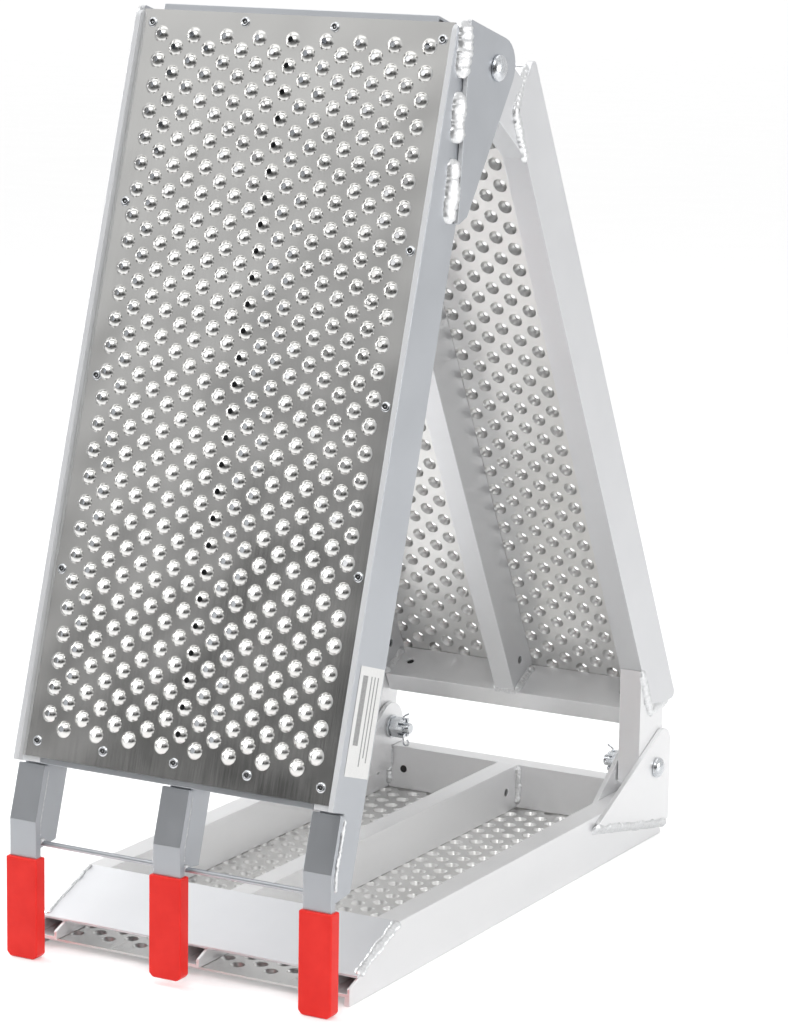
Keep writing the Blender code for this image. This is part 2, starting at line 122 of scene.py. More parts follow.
def add_piece(name, vertices, faces, section, materials, smooth_angle=35.0, face_materials=None):
    """A mesh given in a section's own millimetres, riding on that section."""
    mesh = bpy.data.meshes.new(name)
    mesh.from_pydata([section.matrix @ Vector(v) for v in vertices], [], faces)
    for material in materials:
        mesh.materials.append(material)
    if face_materials:
        mesh.polygons.foreach_set("material_index", face_materials)
    shape = bmesh.new()
    shape.from_mesh(mesh)
    bmesh.ops.recalc_face_normals(shape, faces=shape.faces)
    shape.to_mesh(mesh)
    shape.free()
    mesh.shade_smooth()
    mesh.set_sharp_from_angle(angle=math.radians(smooth_angle))
    piece = bpy.data.objects.new(name, mesh)
    bpy.context.scene.collection.objects.link(piece)
    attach(piece, section.body)
    return piece


def prism_faces(first, count):
    """Faces of a prism: its two outlines have count corners each and start at vertex first."""
    faces = [tuple(first + k for k in range(count)), tuple(first + count + k for k in range(count))]
    for k in range(count):
        following = (k + 1) % count
        faces.append((first + k, first + following, first + count + following, first + count + k))
    return faces


def circle(x, y, radius, sides):
    """Points of a circle around (x, y)."""
    turns = [2.0 * math.pi * k / sides for k in range(sides)]
    return [(x + radius * math.cos(turn), y + radius * math.sin(turn)) for turn in turns]


# ---------------------------------------------------------------- materials

class Nodes:
    """A short way to build a node tree."""

    def __init__(self, tree):
        self.tree = tree

    def add(self, kind, **settings):
        node = self.tree.nodes.new(kind)
        for key, value in settings.items():
            setattr(node, key, value)
        return node

    def link(self, source, target):
        self.tree.links.new(source, target)

    def coordinates(self, turn, scale):
        """Places on the piece, turned to run along its section and stretched."""
        place = self.add("ShaderNodeTexCoord")
        straight = self.add("ShaderNodeMapping", vector_type="TEXTURE")
        straight.inputs["Rotation"].default_value = (turn, 0.0, 0.0)
        self.link(place.outputs["Object"], straight.inputs["Vector"])
        stretch = self.add("ShaderNodeMapping")
        stretch.inputs["Scale"].default_value = scale
        self.link(straight.outputs["Vector"], stretch.inputs["Vector"])
        return stretch.outputs["Vector"]

    def noise(self, vector, scale, detail=3.0, roughness=0.55):
        texture = self.add("ShaderNodeTexNoise")
        texture.inputs["Scale"].default_value = scale
        texture.inputs["Detail"].default_value = detail
        texture.inputs["Roughness"].default_value = roughness
        self.link(vector, texture.inputs["Vector"])
        return texture.outputs["Fac"]

    def spread(self, value, low, high):
        """Map a texture's middle range onto low to high."""
        change = self.add("ShaderNodeMapRange")
        change.inputs["From Min"].default_value = 0.3
        change.inputs["From Max"].default_value = 0.7
        change.inputs["To Min"].default_value = low
        change.inputs["To Max"].default_value = high
        self.link(value, change.inputs["Value"])
        return change.outputs["Result"]

    def tint(self, value, dark, light):
        mix = self.add("ShaderNodeMix", data_type="RGBA")
        mix.inputs["A"].default_value = (*dark, 1.0)
        mix.inputs["B"].default_value = (*light, 1.0)
        self.link(value, mix.inputs["Factor"])
        return mix.outputs["Result"]

    def bump(self, value, strength, distance, before=None):
        node = self.add("ShaderNodeBump")
        node.inputs["Strength"].default_value = strength
        node.inputs["Distance"].default_value = distance
        self.link(value, node.inputs["Height"])
        if before is not None:
            self.link(before, node.inputs["Normal"])
        return node.outputs["Normal"]


def new_surface(name, metallic):
    material = bpy.data.materials.new(name)
    material.use_nodes = True
    nodes = Nodes(material.node_tree)
    shader = material.node_tree.nodes["Principled BSDF"]
    shader.inputs["Metallic"].default_value = metallic
    return material, nodes, shader


def rolled_metal(name, turn, dark, light, roughness, grain, pitting, waves=0.0005, metallic=1.0):
    """Metal drawn or rolled along its section: faint streaks, cloudy patches, slow waves and fine grain."""
    material, nodes, shader = new_surface(name, metallic)
    streak_place = nodes.coordinates(turn, (1.0, 0.02, 1.0))
    place = nodes.coordinates(turn, (1.0, 1.0, 1.0))
    streaks = nodes.noise(streak_place, 900.0, 3.0)
    clouds = nodes.noise(place, 14.0, 4.0)
    specks = nodes.noise(place, 1400.0, 2.0)
    shades = nodes.add("ShaderNodeMath", operation="MULTIPLY")
    nodes.link(nodes.spread(clouds, 0.55, 1.0), shades.inputs[0])
    nodes.link(nodes.spread(streaks, 0.88, 1.0), shades.inputs[1])
    nodes.link(nodes.tint(shades.outputs[0], dark, light), shader.inputs["Base Color"])
    rough = nodes.add("ShaderNodeMath", operation="ADD")
    nodes.link(nodes.spread(clouds, roughness - 0.04, roughness + 0.04), rough.inputs[0])
    nodes.link(nodes.spread(streaks, -0.03, 0.03), rough.inputs[1])
    nodes.link(rough.outputs[0], shader.inputs["Roughness"])
    swell = nodes.bump(nodes.noise(place, 9.0, 1.0), 1.0, waves)
    lines = nodes.bump(streaks, grain, 0.00004, swell)
    nodes.link(nodes.bump(specks, pitting, 0.00003, lines), shader.inputs["Normal"])
    return material


def weld_metal():
    """Bright cast-looking bead metal, uneven at a small scale."""
    material, nodes, shader = new_surface("weld_metal", 1.0)
    place = nodes.coordinates(0.0, (1.0, 1.0, 1.0))
    lumps = nodes.noise(place, 420.0, 4.0)
    grit = nodes.noise(place, 1800.0, 3.0)
    nodes.link(nodes.tint(nodes.spread(lumps, 0.0, 1.0), (0.78, 0.79, 0.80), (0.96, 0.965, 0.97)),
               shader.inputs["Base Color"])
    nodes.link(nodes.spread(grit, 0.28, 0.50), shader.inputs["Roughness"])
    first = nodes.bump(lumps, 0.5, 0.0006)
    nodes.link(nodes.bump(grit, 0.30, 0.0002, first), shader.inputs["Normal"])
    return material


def plated_steel():
    """Zinc-plated fasteners: bright, faintly blue, with a fine spangle."""
    material, nodes, shader = new_surface("plated_steel", 1.0)
    place = nodes.coordinates(0.0, (1.0, 1.0, 1.0))
    spangle = nodes.noise(place, 500.0, 3.0)
    grain = nodes.noise(place, 2500.0, 2.0)
    nodes.link(nodes.tint(nodes.spread(spangle, 0.0, 1.0), (0.62, 0.64, 0.67), (0.84, 0.86, 0.88)),
               shader.inputs["Base Color"])
    nodes.link(nodes.spread(spangle, 0.14, 0.26), shader.inputs["Roughness"])
    nodes.link(nodes.bump(grain, 0.15, 0.00003), shader.inputs["Normal"])
    return material


def moulded_red():
    """Dipped red plastic: soft gloss, a fine orange peel and slight shade changes."""
    material, nodes, shader = new_surface("moulded_red", 0.0)
    place = nodes.coordinates(0.0, (1.0, 1.0, 1.0))
    clouds = nodes.noise(place, 40.0, 3.0)
    peel = nodes.noise(place, 700.0, 2.0)
    nodes.link(nodes.tint(nodes.spread(clouds, 0.0, 1.0), (0.78, 0.018, 0.012), (0.86, 0.028, 0.020)),
               shader.inputs["Base Color"])
    nodes.link(nodes.spread(peel, 0.30, 0.42), shader.inputs["Roughness"])
    shader.inputs["Specular IOR Level"].default_value = 0.35
    nodes.link(nodes.bump(peel, 0.12, 0.0001), shader.inputs["Normal"])
    return material


def label_film():
    """Plain sticker stock."""
    material, nodes, shader = new_surface("label_film", 0.0)
    place = nodes.coordinates(0.0, (1.0, 1.0, 1.0))
    fibre = nodes.noise(place, 1200.0, 3.0)
    nodes.link(nodes.tint(nodes.spread(fibre, 0.0, 1.0), (0.74, 0.74, 0.73), (0.82, 0.82, 0.81)),
               shader.inputs["Base Color"])
    nodes.link(nodes.spread(fibre, 0.32, 0.44), shader.inputs["Roughness"])
    nodes.link(nodes.bump(fibre, 0.05, 0.00005), shader.inputs["Normal"])
    return material


def dark_recess(name="dark_recess", tone=0.03):
    """Painted shade for the hollows inside rivets, vent holes and punched holes; at a lighter tone, also the
    label's printed ink.
    """
    material, nodes, shader = new_surface(name, 0.3)
    place = nodes.coordinates(0.0, (1.0, 1.0, 1.0))
    mottle = nodes.noise(place, 900.0, 3.0)
    nodes.link(nodes.tint(mottle, (tone * 0.5,) * 3, (tone * 2.0,) * 3), shader.inputs["Base Color"])
    nodes.link(nodes.spread(mottle, 0.5, 0.8), shader.inputs["Roughness"])
    return material


# Darkest and lightest tone of the rails of each section, how metallic they are, and how rough its deck is.
# The rails are one metal; the ground section's tones are set lighter as painted light, to lift the shaded
# inside of the ramp.
RAIL_TONES = {"ground": ((0.90, 0.905, 0.915), (0.97, 0.97, 0.975)),
              "middle": ((0.74, 0.75, 0.765), (0.82, 0.825, 0.84)),
              "upper": ((0.50, 0.52, 0.55), (0.60, 0.62, 0.65))}
RAIL_METALLIC = {"ground": 0.78, "middle": 0.80, "upper": 1.0}
SHEET_ROUGHNESS = {"ground": 0.32, "middle": 0.34, "upper": 0.20}
SHEET_TONES = ((0.74, 0.735, 0.72), (0.82, 0.815, 0.80))


def metals_for(section, word):
    """The rail metal and the deck metal of one section."""
    turn = section.turn.x
    rail = rolled_metal("rail_aluminium_" + word, turn, *RAIL_TONES[word], roughness=0.42, grain=0.25,
                        pitting=0.12, metallic=RAIL_METALLIC[word])
    sheet = rolled_metal("deck_sheet_" + word, turn, *SHEET_TONES, roughness=SHEET_ROUGHNESS[word],
                         grain=0.02, pitting=0.05, waves=0.0018)
    return {"rail": rail, "sheet": sheet}


METALS = {section.body: metals_for(section, word)
          for section, word in ((GROUND, "ground"), (MIDDLE, "middle"), (UPPER, "upper"))}
# A lighter, duller copy of the hook section's rail metal: a painted highlight for the raised edges on the deck
# side.
LIP_HIGHLIGHT = rolled_metal("rail_lip", UPPER.turn.x, (0.66, 0.67, 0.685), (0.74, 0.75, 0.765), roughness=0.60,
                   grain=0.15, pitting=0.08, metallic=0.35)
# A lighter, less metallic copy of the middle rail metal: painted light for the lower cross-member and lugs,
# deep in the ramp's shade.
INNER_PAINTED_LIGHT = rolled_metal("inner_aluminium", MIDDLE.turn.x, (0.88, 0.885, 0.89), (0.96, 0.96, 0.965),
                     roughness=0.42, grain=0.25, pitting=0.12, metallic=0.65)
PLATE = rolled_metal("approach_plate", 0.0, (0.77, 0.78, 0.80), (0.87, 0.88, 0.90), roughness=0.45,
                     grain=0.20, pitting=0.15)
SPECIAL_METALS = {"approach_plate": PLATE, "middle_cross_lower": INNER_PAINTED_LIGHT, "middle_lug_lower_left": INNER_PAINTED_LIGHT,
                  "middle_lug_lower_right": INNER_PAINTED_LIGHT}
WELD = weld_metal()
ZINC = plated_steel()
RED = moulded_red()
FILM = label_film()
# Painted shade for the hollows inside the rivets and the vent holes.
DARK = dark_recess()
# Painted shade on the wall of the hole at each dimple's tip.
HOLE_WALL_SHADE = dark_recess("punched_edge", 0.16)


# ---------------------------------------------------------------- solids kept from the frame

# Width of the rounding on the sharp edges, and how sharp an edge has to be to get it.
HARDWARE_EDGE = 0.3
PLATE_EDGE = 0.6
RAIL_EDGE = 1.2
SHARP_ANGLE = 35.0
FINGER_BEND_ANGLE = 14.0
HARDWARE = ("bolt", "nut", "washer", "cotter")

# Shares of a width that are tried in turn, and how much area may then face the wrong way.
EDGE_SHARES = (1.0, 0.75, 0.5, 0.25)
SMALL_TURNED_AREA = 4.0 * MM * MM
RAIL_TURNED_AREA = 45.0 * MM * MM


def turned_area(node):
    """Area of the triangles of a finished solid that face against the face they belong to."""
    finished = node.evaluated_get(bpy.context.evaluated_depsgraph_get())
    mesh = finished.to_mesh()
    mesh.calc_loop_triangles()
    area = 0.0
    for triangle in mesh.loop_triangles:
        if triangle.normal.dot(mesh.polygons[triangle.polygon_index].normal) < 0.0:
            area += triangle.area
    finished.to_mesh_clear()
    return area


def soften_edges(node, width, segments, limit=SHARP_ANGLE, turned_limit=SMALL_TURNED_AREA):
    """Close the imported faces up, and round the sharp edges as far as the faces stay clean."""
    weld = node.modifiers.new("join_corners", "WELD")
    weld.merge_threshold = 0.1 * MM
    flat = node.modifiers.new("clean_faces", "DECIMATE")
    flat.decimate_type = "DISSOLVE"
    flat.angle_limit = math.radians(0.5)
    edge = node.modifiers.new("worn_edges", "BEVEL")
    edge.segments = segments
    edge.limit_method = "ANGLE"
    edge.angle_limit = math.radians(limit)
    edge.use_clamp_overlap = False
    level = node.modifiers.new("level_faces", "WEIGHTED_NORMAL")
    level.weight = 100
    level.keep_sharp = True
    node.data.shade_smooth()
    for share in EDGE_SHARES:
        edge.width = width * share * MM
        for slide in (True, False):
            edge.loop_slide = slide
            if turned_area(node) < turned_limit:
                return
    edge.use_clamp_overlap = True


def paint_lip_highlight(node, section, outward):
    """Painted highlight on the raised edge of a rail or ear on its deck side: its faces there get a lighter,
    less metallic copy of the rail metal.
    """
    to_section = section.matrix.inverted() @ node.matrix_world
    turn = to_section.to_3x3()
    node.data.materials.append(LIP_HIGHLIGHT)
    for face in node.data.polygons:
        way = (turn @ face.normal).normalized()
        beside_deck = (to_section @ face.center).z < DECK_UNDER and way.x * outward < 0.5
        if way.z < -0.3 or beside_deck:
            face.material_index = 1


def finish_cad_nodes():
    """Give each solid that stays in view its finish and its edges."""
    for name, node in frame["nodes"].items():
        rail = METALS[node["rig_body"]]["rail"]
        node.data.materials.clear()
        if any(word in name for word in HARDWARE):
            node.data.materials.append(ZINC)
            soften_edges(node, HARDWARE_EDGE, 1)
        elif "rail" in name:
            node.data.materials.append(rail)
            soften_edges(node, RAIL_EDGE, 4, turned_limit=RAIL_TURNED_AREA)
        elif "finger" in name:
            node.data.materials.append(rail)
            soften_edges(node, PLATE_EDGE, 2, FINGER_BEND_ANGLE)
        else:
            node.data.materials.append(SPECIAL_METALS.get(name, rail))
            soften_edges(node, PLATE_EDGE, 2)
    for word, outward in (("left", -1.0), ("right", 1.0)):
        for name in ("upper_rail_", "upper_ear_outer_"):
            paint_lip_highlight(frame["nodes"][name + word], UPPER, outward)


# ---------------------------------------------------------------- punched decks

class Sheet:
    """A punched deck sheet: a grid of flat cells with staggered dimples, each with a hole in its tip."""

    def __init__(self, span, first, pitch, rows, dimple):
        self.steps, self.dome, self.hollow = dimple
        self.first = first
        self.pitch = pitch
        self.left = -COLUMNS * COLUMN_PITCH / 2.0
        self.x_lines = self.lines_across()
        self.y_lines = self.lines_along(span, rows)
        self.vertices = []
        self.faces = []
        self.shades = []
        self.curved = []
        self.grid = {}
        self.covered = set()

    def lines_across(self):
        """Grid lines from edge to edge, two beside each edge and the rest under the dimples."""
        step = COLUMN_PITCH / self.steps
        lines = [-DECK_HALF_WIDTH, (self.left - DECK_HALF_WIDTH) / 2.0]
        lines += [self.left + step * i for i in range(COLUMNS * self.steps + 1)]
        return lines + [-lines[1], DECK_HALF_WIDTH]

    def lines_along(self, span, rows):
        """The same along the sheet; staggered columns reach half a cell further."""
        step = self.pitch / self.steps
        start = self.first - self.pitch / 2.0
        count = rows * self.steps + self.steps // 2 + 1
        lines = [span[0], (span[0] + start) / 2.0]
        lines += [start + step * j for j in range(count)]
        return lines + [(lines[-1] + span[1]) / 2.0, span[1]]

    def vertex(self, x, along, depth):
        self.vertices.append((x, along, depth))
        return len(self.vertices) - 1

    def add_face(self, corners, shade=0, curved=False):
        self.faces.append(corners)
        self.shades.append(shade)
        self.curved.append(curved)

    def corner(self, i, j, level):
        """The vertex at a crossing of grid lines, on the deck side (0) or the underside (1)."""
        key = (i, j, level)
        if key not in self.grid:
            self.grid[key] = self.vertex(self.x_lines[i], self.y_lines[j], (DECK_TOP, DECK_UNDER)[level])
        return self.grid[key]

    def cell_border(self, i, j, level):
        """Vertices around a dimple's cell, in the same order as its rings."""
        n = self.steps
        border = [(i + k, j) for k in range(n)]
        border += [(i + n, j + k) for k in range(n)]
        border += [(i + n - k, j + n) for k in range(n)]
        border += [(i, j + n - k) for k in range(n)]
        return [self.corner(a, b, level) for a, b in border]

    def ring(self, x, along, radius, depth):
        """Vertices of a circle around a dimple, starting toward the corner of its cell."""
        count = 4 * self.steps
        ring = []
        for k in range(count):
            angle = math.radians(225.0) + 2.0 * math.pi * k / count
            ring.append(self.vertex(x + radius * math.cos(angle), along + radius * math.sin(angle), depth))
        return ring

    def bridge(self, first, second, shade, curved):
        """A band of faces between two rings."""
        count = len(first)
        for k in range(count):
            following = (k + 1) % count
            self.add_face((first[k], first[following], second[following], second[k]), shade, curved)

    def add_dimple(self, column, row):
        """One dimple; every second column is half a cell further along."""
        stagger = column % 2
        i = 2 + column * self.steps
        j = 2 + row * self.steps + stagger * self.steps // 2
        self.covered.update((i + a, j + b) for a in range(self.steps) for b in range(self.steps))
        x = self.left + COLUMN_PITCH * (column + 0.5)
        along = self.first + self.pitch * (row + 0.5 * stagger)
        rings = [self.cell_border(i, j, 0)]
        rings += [self.ring(x, along, radius, DECK_TOP - height) for radius, height in self.dome]
        rings += [self.ring(x, along, radius, DECK_UNDER - height) for radius, height in self.hollow]
        rings.append(self.cell_border(i, j, 1))
        for band, (one, other) in enumerate(zip(rings, rings[1:])):
            flat = band in (0, len(rings) - 2)
            # The band from dome to hollow is the wall of the tip hole, which gets the painted shade.
            shaded_hole_wall = band == len(self.dome)
            self.bridge(one, other, int(shaded_hole_wall), not flat)

    def add_flats(self):
        """Fill the cells without a dimple."""
        for i in range(len(self.x_lines) - 1):
            for j in range(len(self.y_lines) - 1):
                if (i, j) not in self.covered:
                    for level in (0, 1):
                        self.add_face((self.corner(i, j, level), self.corner(i + 1, j, level),
                                       self.corner(i + 1, j + 1, level), self.corner(i, j + 1, level)))

    def add_rim(self):
        """Close the sheet's four edges."""
        last_i = len(self.x_lines) - 1
        last_j = len(self.y_lines) - 1
        for i in range(last_i):
            for j in (0, last_j):
                self.add_face((self.corner(i, j, 0), self.corner(i + 1, j, 0),
                               self.corner(i + 1, j, 1), self.corner(i, j, 1)))
        for j in range(last_j):
            for i in (0, last_i):
                self.add_face((self.corner(i, j, 0), self.corner(i, j + 1, 0),
                               self.corner(i, j + 1, 1), self.corner(i, j, 1)))


def punched_sheet(name, section, span, first, pitch, rows, dimple=PLAIN_DIMPLE):
    """The punched deck of a section: span along it, place of the first row, pitch and count of the rows."""
    sheet = Sheet(span, first, pitch, rows, dimple)
    for column in range(COLUMNS):
        for row in range(rows):
            sheet.add_dimple(column, row)
    sheet.add_flats()
    sheet.add_rim()
    metals = (METALS[section.body]["sheet"], HOLE_WALL_SHADE)
    piece = add_piece(name + "_punched_deck", sheet.vertices, sheet.faces, section, metals,
                      40.0, sheet.shades)
    piece.data.polygons.foreach_set("use_smooth", sheet.curved)
    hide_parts(name + "_deck")


# ---------------------------------------------------------------- rivets

RIVET_PROFILE = ((4.8, -0.05), (4.8, 0.35), (4.3, 0.9), (3.6, 1.3), (2.9, 1.4), (2.4, 1.1),
                 (2.3, 0.2), (1.0, 0.15), (0.9, 0.75), (0.0, 0.8))
# Bands of the hollow inside each rivet, which get the painted shade.
RIVET_CORE_BANDS = (5, 6)
RIVET_SIDES = 20


def rivets(name, section, places):
    """Blind rivets on a deck sheet, each given by its place across and along."""
    vertices = []
    faces = []
    shades = []
    for x, along in places:
        rings = []
        for radius, height in RIVET_PROFILE[:-1]:
            rings.append(range(len(vertices), len(vertices) + RIVET_SIDES))
            vertices += [(a, b, DECK_TOP - height) for a, b in circle(x, along, radius, RIVET_SIDES)]
        tip = len(vertices)
        vertices.append((x, along, DECK_TOP - RIVET_PROFILE[-1][1]))
        for band, (one, other) in enumerate(zip(rings, rings[1:])):
            for k in range(RIVET_SIDES):
                following = (k + 1) % RIVET_SIDES
                faces.append((one[k], one[following], other[following], other[k]))
                shades.append(int(band in RIVET_CORE_BANDS))
        for k in range(RIVET_SIDES):
            faces.append((rings[-1][k], rings[-1][(k + 1) % RIVET_SIDES], tip))
            shades.append(0)
        faces.append(tuple(rings[0]))
        shades.append(0)
    return add_piece(name, vertices, faces, section, (ZINC, DARK), 50.0, shades)


# ---------------------------------------------------------------- weld beads

BEAD_STEP = 1.1
BEAD_SIDES = 12
BEAD_SINK = 0.9

# Length of a ripple and of the tapered ends, as shares of a bead's width.
RIPPLE_SHARE = 0.42
TAPER_SHARE = 0.35

# How much a bead swells, wanders and lumps along its way, as shares of its size.
BEAD_SWELL = 0.28
BEAD_WANDER = 0.10
BEAD_LUMPS = 0.22

# Width and height of each kind of bead.
EAR_BEAD = (19.0, 3.9)
FINGER_BEAD = (6.5, 2.4)
FINGER_ROOT_BEAD = (7.0, 3.0)
CORNER_BEAD = (11.0, 3.4)
LUG_BEAD = (12.5, 3.6)
RIB_BEAD = (6.0, 1.6)
GROUND_BRACKET_BEAD = (12.0, 4.4)
SLOPE_BEAD = (9.0, 2.6)


def place_on_path(path, lengths, at):
    """Point and direction at a distance along a path."""
    piece = max(k for k in range(len(lengths) - 1) if lengths[k] <= at)
    share = (at - lengths[piece]) / (lengths[piece + 1] - lengths[piece])
    point = path[piece].lerp(path[piece + 1], share)
    return point, (path[piece + 1] - path[piece]).normalized()


def bead_ring(point, side, out, at, end, width, height, shift):
    """One ring of a bead, at a distance along it and with end left to its nearer end."""
    ripple = RIPPLE_SHARE * width
    taper = max(0.1, min(1.0, end / (TAPER_SHARE * width))) ** 0.4
    wave = abs(math.sin(math.pi * at / ripple))
    swell = 1.0 + BEAD_SWELL * noise.noise(Vector((at * 0.11, 0.0, 0.0)) + shift)
    drift = BEAD_WANDER * width * noise.noise(Vector((at * 0.07, 7.0, 0.0)) + shift)
    ring = []
    for k in range(BEAD_SIDES):
        angle = 2.0 * math.pi * k / BEAD_SIDES
        across = math.cos(angle)
        up = math.sin(angle)
        crescent = abs(math.sin(math.pi * (at + 0.25 * width * across * across) / ripple))
        lump = 1.0 + BEAD_LUMPS * noise.noise(Vector((at * 0.35, across * 1.3, up * 1.3)) + shift)
        rise = height * (0.86 + 0.14 * crescent) if up > 0.0 else BEAD_SINK
        reach = 0.5 * width * across * taper * swell * (0.92 + 0.08 * wave) * lump + drift
        ring.append(point + side * reach + out * (rise * up * taper * lump))
    return ring


def bead_rings(path, out, width, height, rng):
    """Rings of a lumpy bead that follows a path on a surface whose outward way is given."""
    lengths = [0.0]
    for a, b in zip(path, path[1:]):
        lengths.append(lengths[-1] + (b - a).length)
    total = lengths[-1]
    count = max(4, int(total / BEAD_STEP))
    shift = Vector((rng.uniform(0.0, 90.0), rng.uniform(0.0, 90.0), rng.uniform(0.0, 90.0)))
    rings = []
    for step in range(count + 1):
        at = total * step / count
        point, ahead = place_on_path(path, lengths, at)
        side = ahead.cross(out).normalized()
        rings.append(bead_ring(point, side, out, at, min(at, total - at), width, height, shift))
    return rings


def bead_mesh(runs, seed):
    """Vertices and faces of several beads; each run is (path, out, width, height)."""
    rng = random.Random(seed)
    vertices = []
    faces = []
    for path, out, width, height in runs:
        rings = bead_rings([Vector(p) for p in path], Vector(out), width, height, rng)
        start = len(vertices)
        for ring in rings:
            vertices.extend(tuple(p) for p in ring)
        for r in range(len(rings) - 1):
            for k in range(BEAD_SIDES):
                following = (k + 1) % BEAD_SIDES
                here = start + r * BEAD_SIDES
                there = here + BEAD_SIDES
                faces.append((here + k, here + following, there + following, there + k))
        faces.append(tuple(start + k for k in range(BEAD_SIDES)))
        last = start + (len(rings) - 1) * BEAD_SIDES
        faces.append(tuple(last + k for k in range(BEAD_SIDES)))
    return vertices, faces


def welds(name, section, runs, seed):
    """Several beads as one piece."""
    vertices, faces = bead_mesh(runs, seed)
    return add_piece(name, vertices, faces, section, (WELD,), 70.0)


def mirrored(runs):
    """The same beads on the left side."""
    other = []
    for path, out, width, height in runs:
        other.append(([(-x, y, z) for x, y, z in path], (-out[0], out[1], out[2]), width, height))
    return list(runs) + other


# ---------------------------------------------------------------- decks, rivets and welds of each section

def dress_upper():
    """Deck, rivets and welds of the hook section."""
    punched_sheet("upper", UPPER, span=(-23.3, 677.7), first=-0.1, pitch=24.5, rows=27, dimple=ROUND_DIMPLE)
    places = [(-153.0, -10.8), (-53.0, -15.0), (42.0, -14.1), (154.0, -7.3), (-151.0, 159.0), (-151.0, 323.0),
              (-154.0, 504.0), (155.0, 184.0), (155.0, 324.0), (155.0, 476.0)]
    places += [(x, 663.0) for x in (-150.0, -78.0, -2.0, 75.0, 151.0)]
    rivets("upper_rivets", UPPER, places)
    out = (0.9, 0.0, -0.43)
    x = RAIL_FACE + 1.6
    runs = []
    for start, end in ((-26.0, 24.0), (36.0, 81.0), (95.0, 152.0)):
        runs.append(([(x, t, 9.7 + 0.152 * (t + 26.0)) for t in (start, end)], out, *EAR_BEAD))
    welds("upper_ear_welds", UPPER, mirrored(runs), 11)
    finger_welds()


def finger_welds():
    """Beads down both sides of each hook finger, where it lies on a tube end."""
    runs = []
    for centre, tube in ((-156.6, (-170.0, -145.0)), (0.0, (-11.5, 11.5)), (156.6, (145.0, 170.0))):
        for edge, way in zip(tube, (-1.0, 1.0)):
            out = (way, 0.0, 0.5)
            path = [(edge, 687.0, 21.5), (edge, 737.0, 21.5), (edge + way * 0.3, 752.0, 25.0)]
            runs.append((path, out, *FINGER_BEAD))
    for x in (-145.0, -11.5, 11.5, 145.0):
        way = 1.0 if x < 0.0 else -1.0
        inward = way if abs(x) > 100.0 else -way
        runs.append(([(x, 753.0, 29.0), (x, 756.0, 38.0)], (inward, 0.0, 0.0), *FINGER_ROOT_BEAD))
    welds("finger_welds", UPPER, runs, 17)


# The corner beads run from the deck side to the underside.
CORNER_TOP = 12.0
CORNER_END = 54.0


def corner_runs(face, way):
    """Beads in the corners of a cross-member that starts at the given face."""
    runs = []
    for x, side in ((-145.0, 1.0), (-11.5, -1.0), (11.5, 1.0), (145.0, -1.0)):
        out = (side, way, 0.0)
        runs.append(([(x, face, CORNER_TOP), (x, face, CORNER_END)], out, *CORNER_BEAD))
    return runs


# Around a lug: how far inside the rail's face, how far from the pivot, and how deep.
LUG_WELD_PATH = ((4.5, 37.0, 10.0), (3.0, 47.0, 33.0), (0.0, 58.0, 55.0), (0.0, 78.0, 57.0),
                 (0.0, 112.0, 56.5))


def dress_middle():
    """Deck, rivets and welds of the middle section."""
    punched_sheet("middle", MIDDLE, span=(38.0, 798.0), first=59.3, pitch=24.12, rows=30)
    places = []
    for side in (-1.0, 1.0):
        places += [(side * 155.0, 60.0 + 143.0 * i) for i in range(6)]
    for along in (45.0, 791.0):
        places += [(x, along) for x in (-78.0, -2.0, 75.0)]
    rivets("middle_rivets", MIDDLE, places)
    out = (1.0, 0.0, 0.0)
    x = RAIL_FACE
    runs = []
    for start, way in ((0.0, 1.0), (PIVOT_SPACING, -1.0)):
        path = [(x - inset, start + way * along, depth) for inset, along, depth in LUG_WELD_PATH]
        runs.append((path, out, *LUG_BEAD))
    welds("middle_lug_welds", MIDDLE, mirrored(runs), 23)
    corners = corner_runs(55.2, 1.0) + corner_runs(PIVOT_SPACING - 55.2, -1.0)
    corners.append(([(-13.0, 55.6, 55.0), (13.0, 55.6, 55.0)], (0.0, 0.0, 1.0), *RIB_BEAD))
    welds("middle_corner_welds", MIDDLE, corners, 29)


def dress_ground():
    """Deck, rivets and welds of the ground section."""
    punched_sheet("ground", GROUND, span=(4.0, 647.0), first=28.0, pitch=24.5, rows=25)
    places = []
    for side in (-1.0, 1.0):
        places += [(side * 155.0, 20.0 + 152.0 * i) for i in range(5)]
    places += [(x, 12.0) for x in (-78.0, -2.0, 75.0)]
    rivets("ground_rivets", GROUND, places)
    out = (0.8, -0.1, -0.6)
    x = RAIL_FACE + 1.5
    runs = [([(x, 484.0, 44.5), (x, 570.0, 27.0), (x, 657.0, 10.5)], out, *GROUND_BRACKET_BEAD)]
    slope_out = (0.45, -0.33, 0.8)
    x = RAIL_FACE - 1.6
    runs.append(([(x, 16.0, 24.5), (x, 90.0, 54.5)], slope_out, *SLOPE_BEAD))
    welds("ground_welds", GROUND, mirrored(runs), 37)
    welds("ground_corner_welds", GROUND, corner_runs(629.7, -1.0), 43)


# Outline of an end plate: distance from the pivot, and depth.
END_PLATE = ((37.4, 9.0), (59.4, 51.6), (61.4, 51.6), (39.4, 9.0))
END_PLATE_INSET = 3.2

# The vent holes: how far to each side, how deep, and how large.
VENT_SIDE = 126.7
VENT_DEPTH = 30.0
VENT_RADIUS = 3.95


def middle_end_plates():
    """Plates that close the mitred ends of the middle rails."""
    vertices = []
    faces = []
    for side in (-1.0, 1.0):
        for start, way in ((0.0, 1.0), (PIVOT_SPACING, -1.0)):
            first = len(vertices)
            for x in (RAIL_INNER + END_PLATE_INSET, RAIL_FACE - END_PLATE_INSET):
                vertices += [(side * x, start + way * along, depth) for along, depth in END_PLATE]
            faces += prism_faces(first, len(END_PLATE))
    metal = METALS[MIDDLE.body]["rail"]
    add_piece("middle_end_plates", vertices, faces, MIDDLE, (metal,), 30.0)


